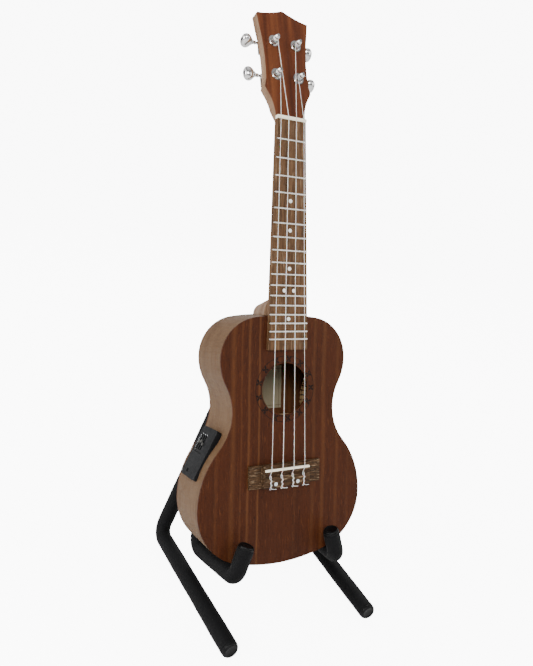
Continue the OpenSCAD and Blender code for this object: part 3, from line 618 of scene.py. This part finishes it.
def sleeve(corners, radii, seed):
    """A foam sleeve on a bent tube: rounded lips, faint bulges, and creases inside each bend."""
    points = rounded_path(corners, radii, 1.2)
    rng = random.Random(seed)
    phases = [rng.uniform(0, 6.28) for _ in range(3)]
    lengths = [0.0]
    for a, b in zip(points, points[1:]):
        lengths.append(lengths[-1] + (b - a).length)
    total = lengths[-1]
    pulls = []
    for i in range(len(points)):
        a = points[max(i - 4, 0)]
        b = points[min(i + 4, len(points) - 1)]
        pulls.append(((a + b) / 2 - points[i]) * 1.6)

    def shape(k, direction):
        s = lengths[k]
        lip = min(s, total - s)
        inward = -LIP_DEPTH * (1 - min(lip / LIP_LENGTH, 1.0)) ** 2
        swell = 0.10 * math.sin(s / 17 + phases[0]) + 0.06 * math.sin(s / 6.1 + phases[1])
        inner = max(pulls[k].dot(direction), 0.0)
        fold = (0.5 + 0.5 * math.sin(s * 2 * math.pi / CREASE_PITCH + phases[2])) ** 3
        return inward + swell - 0.10 + max(-inner * 0.55 * fold, -CREASE_LIMIT)

    return sweep(points, FOAM_R, 36, shape)


def turned_at(shape, origin, direction, profile):
    """A lathe form set at origin with its axis along direction, added to shape."""
    turn = direction.to_track_quat("Z", "Y").to_matrix().to_4x4()
    shape.add(*lathe(profile, 40), Matrix.Translation(origin) @ turn)


CAP_PROFILE = [(3.0, -2.0), (8.3, -1.0), (8.75, -0.3), (8.95, 0.1), (9.0, 0.6), (8.9, 1.0), (8.45, 1.15),
               (8.35, 1.6), (8.2, 2.2), (7.8, 2.65), (7.1, 2.95), (6.2, 3.0), (5.7, 2.95), (5.4, 2.7),
               (2.0, 2.62), (0.4, 2.6)]

for side, half in ((-1, "left"), (1, "right")):
    leg = [Vector((p[0] * side, p[1], p[2])) for p in LEG]
    arm = [Vector((p[0] * side, p[1], p[2])) for p in ARM]
    body = half + "_half"
    verts, faces = sleeve([toward(leg[0], leg[1], LEG_BARE), *leg[1:]], [BEND_R], 3 + side)
    piece = mesh_piece(half + "_leg_sleeve", verts, faces, UKE, body, foam, [half + "_leg_foam"])
    verts, faces = sleeve([toward(arm[0], arm[1], ARM_BARE), *arm[1:]], [BEND_R, HOOK_R], 8 + side)
    piece = mesh_piece(half + "_arm_sleeve", verts, faces, UKE, body, foam, [half + "_arm_foam"])
    caps = Shape()
    turned_at(caps, leg[2], leg[2] - leg[1], CAP_PROFILE)
    turned_at(caps, arm[3], arm[3] - arm[2], CAP_PROFILE)
    mesh_piece(half + "_caps", caps.verts, caps.faces, UKE, body, cap_plastic, [half + "_end_caps"],
               sharp=50)

PAD_PROFILE = [(7.3, -80.15), (17.6, -80.1), (18.6, -79.6), (19.0, -78.6), (19.15, -76.5), (19.1, -74.0),
               (18.8, -72.4), (18.1, -71.3), (16.8, -70.65), (14.0, -70.4), (6.0, -70.38), (0.4, -70.37)]
verts, faces = lathe(PAD_PROFILE, 64)
verts = [(x, y + TAIL_CENTRE_V, z) for x, y, z in verts]
piece = mesh_piece("back_pad_foam", verts, faces, UKE, "stand_hub", foam, ["back_pad"],
                   sharp=60)


# ---------------------------------------------------------------- strings and tuners
# The strings are numbered from the left as seen from the front; STRING_R is half of each one's thickness
STRING_R = {1: 0.32, 2: 0.40, 3: 0.37, 4: 0.30}
NUT_SPACING = 9.5
BRIDGE_SPACING = 14
# Where each string bends, as v and w: over the nut, at the tie block's front hole and at its back hole
NUT_BEND = (1.8, 1.4)
SADDLE_TOP = 5.2
FRONT_HOLE = (-388.9, 0.8)
BACK_HOLE = (-402.2, 0.8)
# Where the string posts stand on the headstock: across it, and the lower and upper pair along it
POST_X = 13.8
LOW_POST = 51.2
HIGH_POST = 90.0
POST_GROOVE = 2.2
WRAP_Z = 4.6
WRAP_PITCH = 0.88
WRAP_TURNS = 2.8
WRAP_POINTS = 110
# The last part of a winding, from TAIL_FROM of its length on, goes inward into the post
TAIL_FROM = 0.96
TAIL_SHARE = 0.04
TAIL_IN = 1.6
# The tied end, as places across from the string, along v and along w: out of the back hole, forward
# over the tie block, round the string, and twisted back over itself
TIE = [
    (0, -401.6, 0.8), (0, -402.5, 1.2), (0.1, -402.7, 2.3), (0.3, -401.7, 3.25), (0.5, -397, 3.1),
    (0.8, -391, 3.2), (0.7, -388.4, 3.0), (0, -387.3, 2.2), (-0.8, -388.3, 2.9),
    (-0.9, -390.3, 3.2), (0.4, -391.7, 4.0), (1.7, -393.0, 3.3), (0.9, -394.2, 3.0),
    (-0.6, -394.9, 3.5), (0.3, -396.3, 4.0), (1.6, -397.6, 3.3), (0.9, -399.0, 3.0),
    (-0.4, -399.6, 3.5), (0.6, -401.2, 3.8), (3.0, -402.3, 3.1), (7.5, -402.8, 2.5)
]


def smooth_path(points, step=0.5):
    """A soft curve through every point."""
    points = [Vector(p) for p in points]
    full = [points[0] * 2 - points[1], *points, points[-1] * 2 - points[-2]]
    out = []
    for a, b, c, d in zip(full, full[1:], full[2:], full[3:]):
        count = max(int((c - b).length / step), 3)
        for i in range(count):
            t = i / count
            out.append((b * 2 + (c - a) * t + (a * 2 - b * 5 + c * 4 - d) * t * t
                        + (b * 3 - a - c * 3 + d) * t ** 3) / 2)
    out.append(points[-1])
    return out


def head_point(x, s, z):
    """A point of the headstock's frame, given in UKE."""
    c, d = math.cos(HEAD_TILT), math.sin(HEAD_TILT)
    return (x, s * c + z * d, -2 - s * d + z * c)


def post_place(i):
    """Where string post i stands on the headstock, across and along it."""
    return (-POST_X if i < 3 else POST_X), (LOW_POST if i in (1, 4) else HIGH_POST)


for i in (1, 2, 3, 4):
    r = STRING_R[i]
    px, ps = post_place(i)
    inner = 1 if i < 3 else -1
    coil_r = POST_GROOVE + r + 0.02
    u = (i - 2.5) * BRIDGE_SPACING
    nut_u = (i - 2.5) * NUT_SPACING
    touch = head_point(px + inner * coil_r, ps, WRAP_Z)
    main = rounded_path(
        [touch, (nut_u, *NUT_BEND), (u, SADDLE_V, SADDLE_TOP + r), (u, *FRONT_HOLE), (u, *BACK_HOLE)],
        [5, 3, 2], 3.0)
    tie = smooth_path([(u + across, v, w) for across, v, w in TIE])
    line = Shape().add(*sweep(main, r, 12)).add(*sweep(tie, r, 12))
    mesh_piece("line_%d" % i, line.verts, line.faces, UKE, "ukulele", nylon, ["string_%d" % i])
    start = 0 if i < 3 else math.pi
    wrap = []
    for k in range(WRAP_POINTS):
        t = k / (WRAP_POINTS - 1)
        angle = start + inner * 2 * math.pi * WRAP_TURNS * t
        radius = coil_r if t < TAIL_FROM else coil_r - (t - TAIL_FROM) / TAIL_SHARE * TAIL_IN
        wrap.append(Vector((px + radius * math.cos(angle), ps + radius * math.sin(angle),
                            WRAP_Z + WRAP_PITCH * WRAP_TURNS * t)))
    coil, faces = sweep(wrap, r, 12)
    mesh_piece("wrap_%d" % i, coil, faces, HEAD, "post_%d" % i, nylon, ["string_winding_%d" % i])

# A button's shaft as radius and distance along it: inner end, seven worm rings, collar and flared end
WORM_PITCH = 1.3
SHAFT_PROFILE = [(1.5, -6.9), (1.5, -4.7)]
for k in range(-3, 4):
    ring = k * WORM_PITCH
    SHAFT_PROFILE += [(1.5, ring - 0.5), (1.95, ring - 0.25), (1.95, ring + 0.25), (1.5, ring + 0.5)]
SHAFT_PROFILE += [(1.5, 8.9), (2.3, 8.95), (2.6, 9.25), (2.6, 10.1), (2.3, 10.4), (1.6, 10.7), (1.5, 13.0),
                  (1.9, 13.5), (2.3, 14.1), (2.0, 14.9), (2.1, 16.2), (2.6, 17.6), (3.4, 18.6), (4.0, 19.2),
                  (3.6, 21.0)]
# The shaft's axis runs across the headstock, WORM_OFFSET further up than its post and at WORM_Z below
# the face. The button's middle is BUTTON_X from the post, and BUTTON_ROLL is how far each button
# happens to be turned about its shaft, in degrees.
WORM_OFFSET = 5.4
WORM_Z = -17
BUTTON_X = 24.8
BUTTON_HALF = (6.2, 7.8, 5.7)
BUTTON_ROLL = {1: 0, 2: 70, 3: 40, 4: 50}


def swollen(value, power):
    """Raises a sine or cosine to a power and keeps its sign, which squares off a round outline."""
    return math.copysign(abs(value) ** power, value)


def oval_button(sides=44, rows=26):
    """A rounded oval finger button, broad across and flatter through."""
    long, broad, thick = BUTTON_HALF
    rings = []
    for k in range(1, rows):
        polar = math.pi * k / rows
        x = BUTTON_X - long * swollen(math.cos(polar), 0.82)
        r = swollen(math.sin(polar), 0.86)
        taper = 1 - 0.16 * max(-(x - BUTTON_X) / long, 0)
        rings.append([(x, broad * taper * r * swollen(math.cos(2 * math.pi * j / sides), 0.9),
                       thick * taper * r * swollen(math.sin(2 * math.pi * j / sides), 0.88))
                      for j in range(sides)])
    return rings_to_mesh(rings)


for i in (1, 2, 3, 4):
    px, ps = post_place(i)
    flip = -1 if i < 3 else 1
    turned = Matrix.Rotation(math.radians(BUTTON_ROLL[i]), 4, "X")
    parts = Shape().add(*oval_button(), Matrix.Translation((0, WORM_OFFSET, WORM_Z)) @ turned)
    shaft, faces = lathe(SHAFT_PROFILE, 32)
    parts.add([(z, WORM_OFFSET + y, WORM_Z + x) for x, y, z in shaft], faces)
    verts = [(px + flip * x, ps + y, z) for x, y, z in parts.verts]
    mesh_piece("button_knob_%d" % i, verts, parts.faces, HEAD, "button_%d" % i, chrome,
               ["tuner_button_%d" % i], sharp=50)


# ---------------------------------------------------------------- kerfed linings inside the body
def arc(centre, radius, a0, a1, count):
    """Points along an arc, without its last one."""
    return [(centre[0] + radius * math.cos(a0 + (a1 - a0) * i / count),
             centre[1] + radius * math.sin(a0 + (a1 - a0) * i / count)) for i in range(count)]


def between(a, b):
    """The direction from b to a, as an angle."""
    return math.atan2(a[1] - b[1], a[0] - b[0])


def half_outline(inset):
    """The right half of the body's outline from the neck round to the tail, moved inward by inset.
    The first two lines name the centres of its arcs."""
    top, corner, side = (0, -481), (31.8, -260), (21.3, -260)
    waist, low_side, low, bottom = (123.7, -317), (8, -420), (38.6, -420), (0, -290)
    up = between(corner, top)
    waist_up = between(waist, side)
    waist_low = between(waist, low_side)
    tail = between(low, bottom)
    return (arc(top, 270 - inset, math.pi / 2, up, 30)
            + arc(corner, 46.7 - inset, up, 0, 40)
            + arc(side, 57.2 - inset, 0, waist_up, 20)
            + arc(waist, 60 + inset, math.pi + waist_up, math.pi + waist_low, 40)
            + arc(low_side, 95 - inset, waist_low, 0, 40)
            + arc(low, 64.4 - inset, 0, tail, 50)
            + arc(bottom, 200 - inset, tail, -math.pi / 2, 40)
            + [(0, -490 + inset)])


# One lining block seen end on, as distance from the rib and from the plate; how far apart the blocks
# are; half of one block's length; and how far inside the body's outline they stand
BLOCK_PROFILE = [(0, 0), (4.3, 0), (4.3, 2.4), (1.5, 6.8), (0, 6.8)]
BLOCK_PITCH = 5.4
BLOCK_HALF = 2.25
RIB_INSIDE = 2.5
# No lining block is set this near the middle line, where the neck block and the tail block stand
END_BLOCK_HALF = 30.5
GLUE_GAP = 0.02


def kerfed(plate_w, away, name, node):
    """Small glued blocks with saw cuts between them, following the ribs."""
    blocks = Shape()
    line = [Vector(p) for p in half_outline(RIB_INSIDE)]
    travelled = 0.0
    due = 2.0
    for a, b in zip(line, line[1:]):
        step = (b - a).length
        while due < travelled + step:
            p = a.lerp(b, (due - travelled) / step)
            t = (b - a).normalized()
            inward = Vector((t.y, -t.x))
            due += BLOCK_PITCH
            if abs(p.x) < END_BLOCK_HALF:
                continue
            for flip in (-1, 1):
                rings = []
                for end in (-BLOCK_HALF, BLOCK_HALF):
                    rings.append([(flip * (p.x + t.x * end + inward.x * d), p.y + t.y * end + inward.y * d,
                                   plate_w + away * h) for d, h in BLOCK_PROFILE])
                blocks.add(*rings_to_mesh(rings))
        travelled += step
    mesh_piece(name, blocks.verts, blocks.faces, UKE, "ukulele", pale_wood, [node], smooth=False)


kerfed(FACE_W - PLATE - GLUE_GAP, -1, "front_kerfing", "front_lining")
kerfed(BACK_W + PLATE + GLUE_GAP, 1, "back_kerfing", "back_lining")


# ---------------------------------------------------------------- printed scale beside the sliders
# Thin raised bars of paint: a row of nine ticks, two short bars beside the slots, and one bar at the
# end of each of the three slots
PAINT_FROM = 3.48
PAINT_TO = 3.53
TICK_X = -17.7
TICK_PITCH = 1.75
TICK_Y = -15.6
marks = Shape()


def bar(x, half_x, y0, y1):
    """One bar of paint on the panel, centred on x."""
    marks.add(*box_mesh((x - half_x, y0, PAINT_FROM), (x + half_x, y1, PAINT_TO)))


for k in range(9):
    bar(TICK_X + k * TICK_PITCH, 0.16, TICK_Y, TICK_Y + (2.0 if k % 4 == 0 else 1.1))
for x in (-20.6, -0.9):
    bar(x, 0.14, -13.0, -11.4)
for y in (-10.5, -5.3, -0.1):
    bar(-20.0, 0.6, y - 0.35, y + 0.35)
mesh_piece("panel_marks", marks.verts, marks.faces, PANEL, "ukulele", mark_paint, smooth=False)


# ---------------------------------------------------------------- stage, light, camera
# Brightness of the backdrop the camera sees, and of the sky that lights the object. SKY_LEVEL is about
# the mean of the sky's greys, and PAPER is the floor's grey.
BACKDROP = 9.5
AMBIENT = 0.93
SKY_LEVEL = 0.72
PAPER = 0.9
# The sky's grey by the height of the direction, from level to straight up; the chrome mirrors these
# bands. Straight up and below level it is HORIZON.
HORIZON = (0.9, 0.9, 0.9, 1)
SKY_STOPS = ((0.0, 0.9), (0.04, 0.12), (0.24, 0.03), (0.33, 1.2), (0.6, 1.35), (0.72, 0.14))
# The camera's lens and sensor in millimetres, its turn about the ukulele's axes in degrees, and its
# place in UKE
LENS = 32.34
SENSOR = 36
CAMERA_TURN = {"X": 2.6035741, "Y": 27.88869394, "Z": -0.86897134}
CAMERA_PLACE = (-329.44, -201.31, 570.83)


def floor_material():
    """Pale paper, lit up for the camera so that it runs into the backdrop without a horizon."""
    g = Graph("studio_floor")
    g.set(Base_Color=(PAPER, PAPER, PAPER, 1))
    g.set(Roughness=g.math("MULTIPLY_ADD", g.noise(g.coords(), 30), 0.1, 0.7))
    seen_by = g.tree.nodes.new("ShaderNodeLightPath").outputs["Is Camera Ray"]
    g.set(Emission_Color=(1, 1, 1, 1), Specular_IOR_Level=0.0)
    g.set(Emission_Strength=g.math("MULTIPLY", seen_by, BACKDROP - PAPER * AMBIENT))
    return g.material


# The floor lies just under the feet, in metres, so that the two never share a plane
FLOOR_Z = -0.0004
bpy.ops.mesh.primitive_plane_add(size=30, location=(0, 0, FLOOR_Z))
floor = bpy.context.object
floor.name = "studio_floor"
floor.data.materials.append(floor_material())
MIDDLE = Vector((0, 0, 0.33))


def area_light(name, at, size, power):
    """A round white light that faces the object's middle."""
    data = bpy.data.lights.new(name, "AREA")
    data.shape = "DISK"
    data.size = size
    data.energy = power
    obj = bpy.data.objects.new(name, data)
    bpy.context.scene.collection.objects.link(obj)
    obj.location = at
    obj.rotation_mode = "QUATERNION"
    obj.rotation_quaternion = (MIDDLE - Vector(at)).to_track_quat("-Z", "Y")


area_light("key", (-0.9, -1.5, 1.6), 0.9, 33)
area_light("side", (-1.7, 0.1, 0.9), 0.9, 21)
area_light("fill", (1.5, -1.1, 1.0), 1.2, 12)
area_light("rim", (0.7, 1.6, 1.5), 1.0, 18)

world = bpy.data.worlds.new("studio")
bpy.context.scene.world = world
world.use_nodes = True
tree = world.node_tree
tree.nodes.clear()
output = tree.nodes.new("ShaderNodeOutputWorld")
sky = tree.nodes.new("ShaderNodeBackground")
height = tree.nodes.new("ShaderNodeSeparateXYZ")
tree.links.new(tree.nodes.new("ShaderNodeTexCoord").outputs["Generated"], height.inputs[0])
panels = tree.nodes.new("ShaderNodeValToRGB")
tree.links.new(height.outputs["Z"], panels.inputs[0])
for at, grey in SKY_STOPS:
    stop = panels.color_ramp.elements.new(at)
    stop.color = (grey, grey, grey, 1)
panels.color_ramp.elements[0].color = HORIZON
panels.color_ramp.elements[-1].color = HORIZON
tree.links.new(panels.outputs[0], sky.inputs["Color"])
sky.inputs["Strength"].default_value = AMBIENT / SKY_LEVEL
card = tree.nodes.new("ShaderNodeBackground")
card.inputs["Color"].default_value = (1, 1, 1, 1)
card.inputs["Strength"].default_value = BACKDROP
seen = tree.nodes.new("ShaderNodeLightPath")
both = tree.nodes.new("ShaderNodeMixShader")
tree.links.new(seen.outputs["Is Camera Ray"], both.inputs[0])
tree.links.new(sky.outputs[0], both.inputs[1])
tree.links.new(card.outputs[0], both.inputs[2])
tree.links.new(both.outputs[0], output.inputs["Surface"])

camera_data = bpy.data.cameras.new("camera")
camera_data.lens = LENS
camera_data.sensor_width = SENSOR
camera = bpy.data.objects.new("camera", camera_data)
bpy.context.scene.collection.objects.link(camera)
bpy.context.scene.camera = camera
turn_x, turn_y, turn_z = (Matrix.Rotation(math.radians(CAMERA_TURN[axis]), 3, axis) for axis in "XYZ")
to_camera = turn_z @ turn_x @ turn_y
camera_point = UKE @ (Vector(CAMERA_PLACE) * MM)
camera.matrix_world = Matrix.Translation(camera_point) @ (UKE.to_3x3() @ to_camera.transposed()).to_4x4()
camera_data.clip_start = 0.02
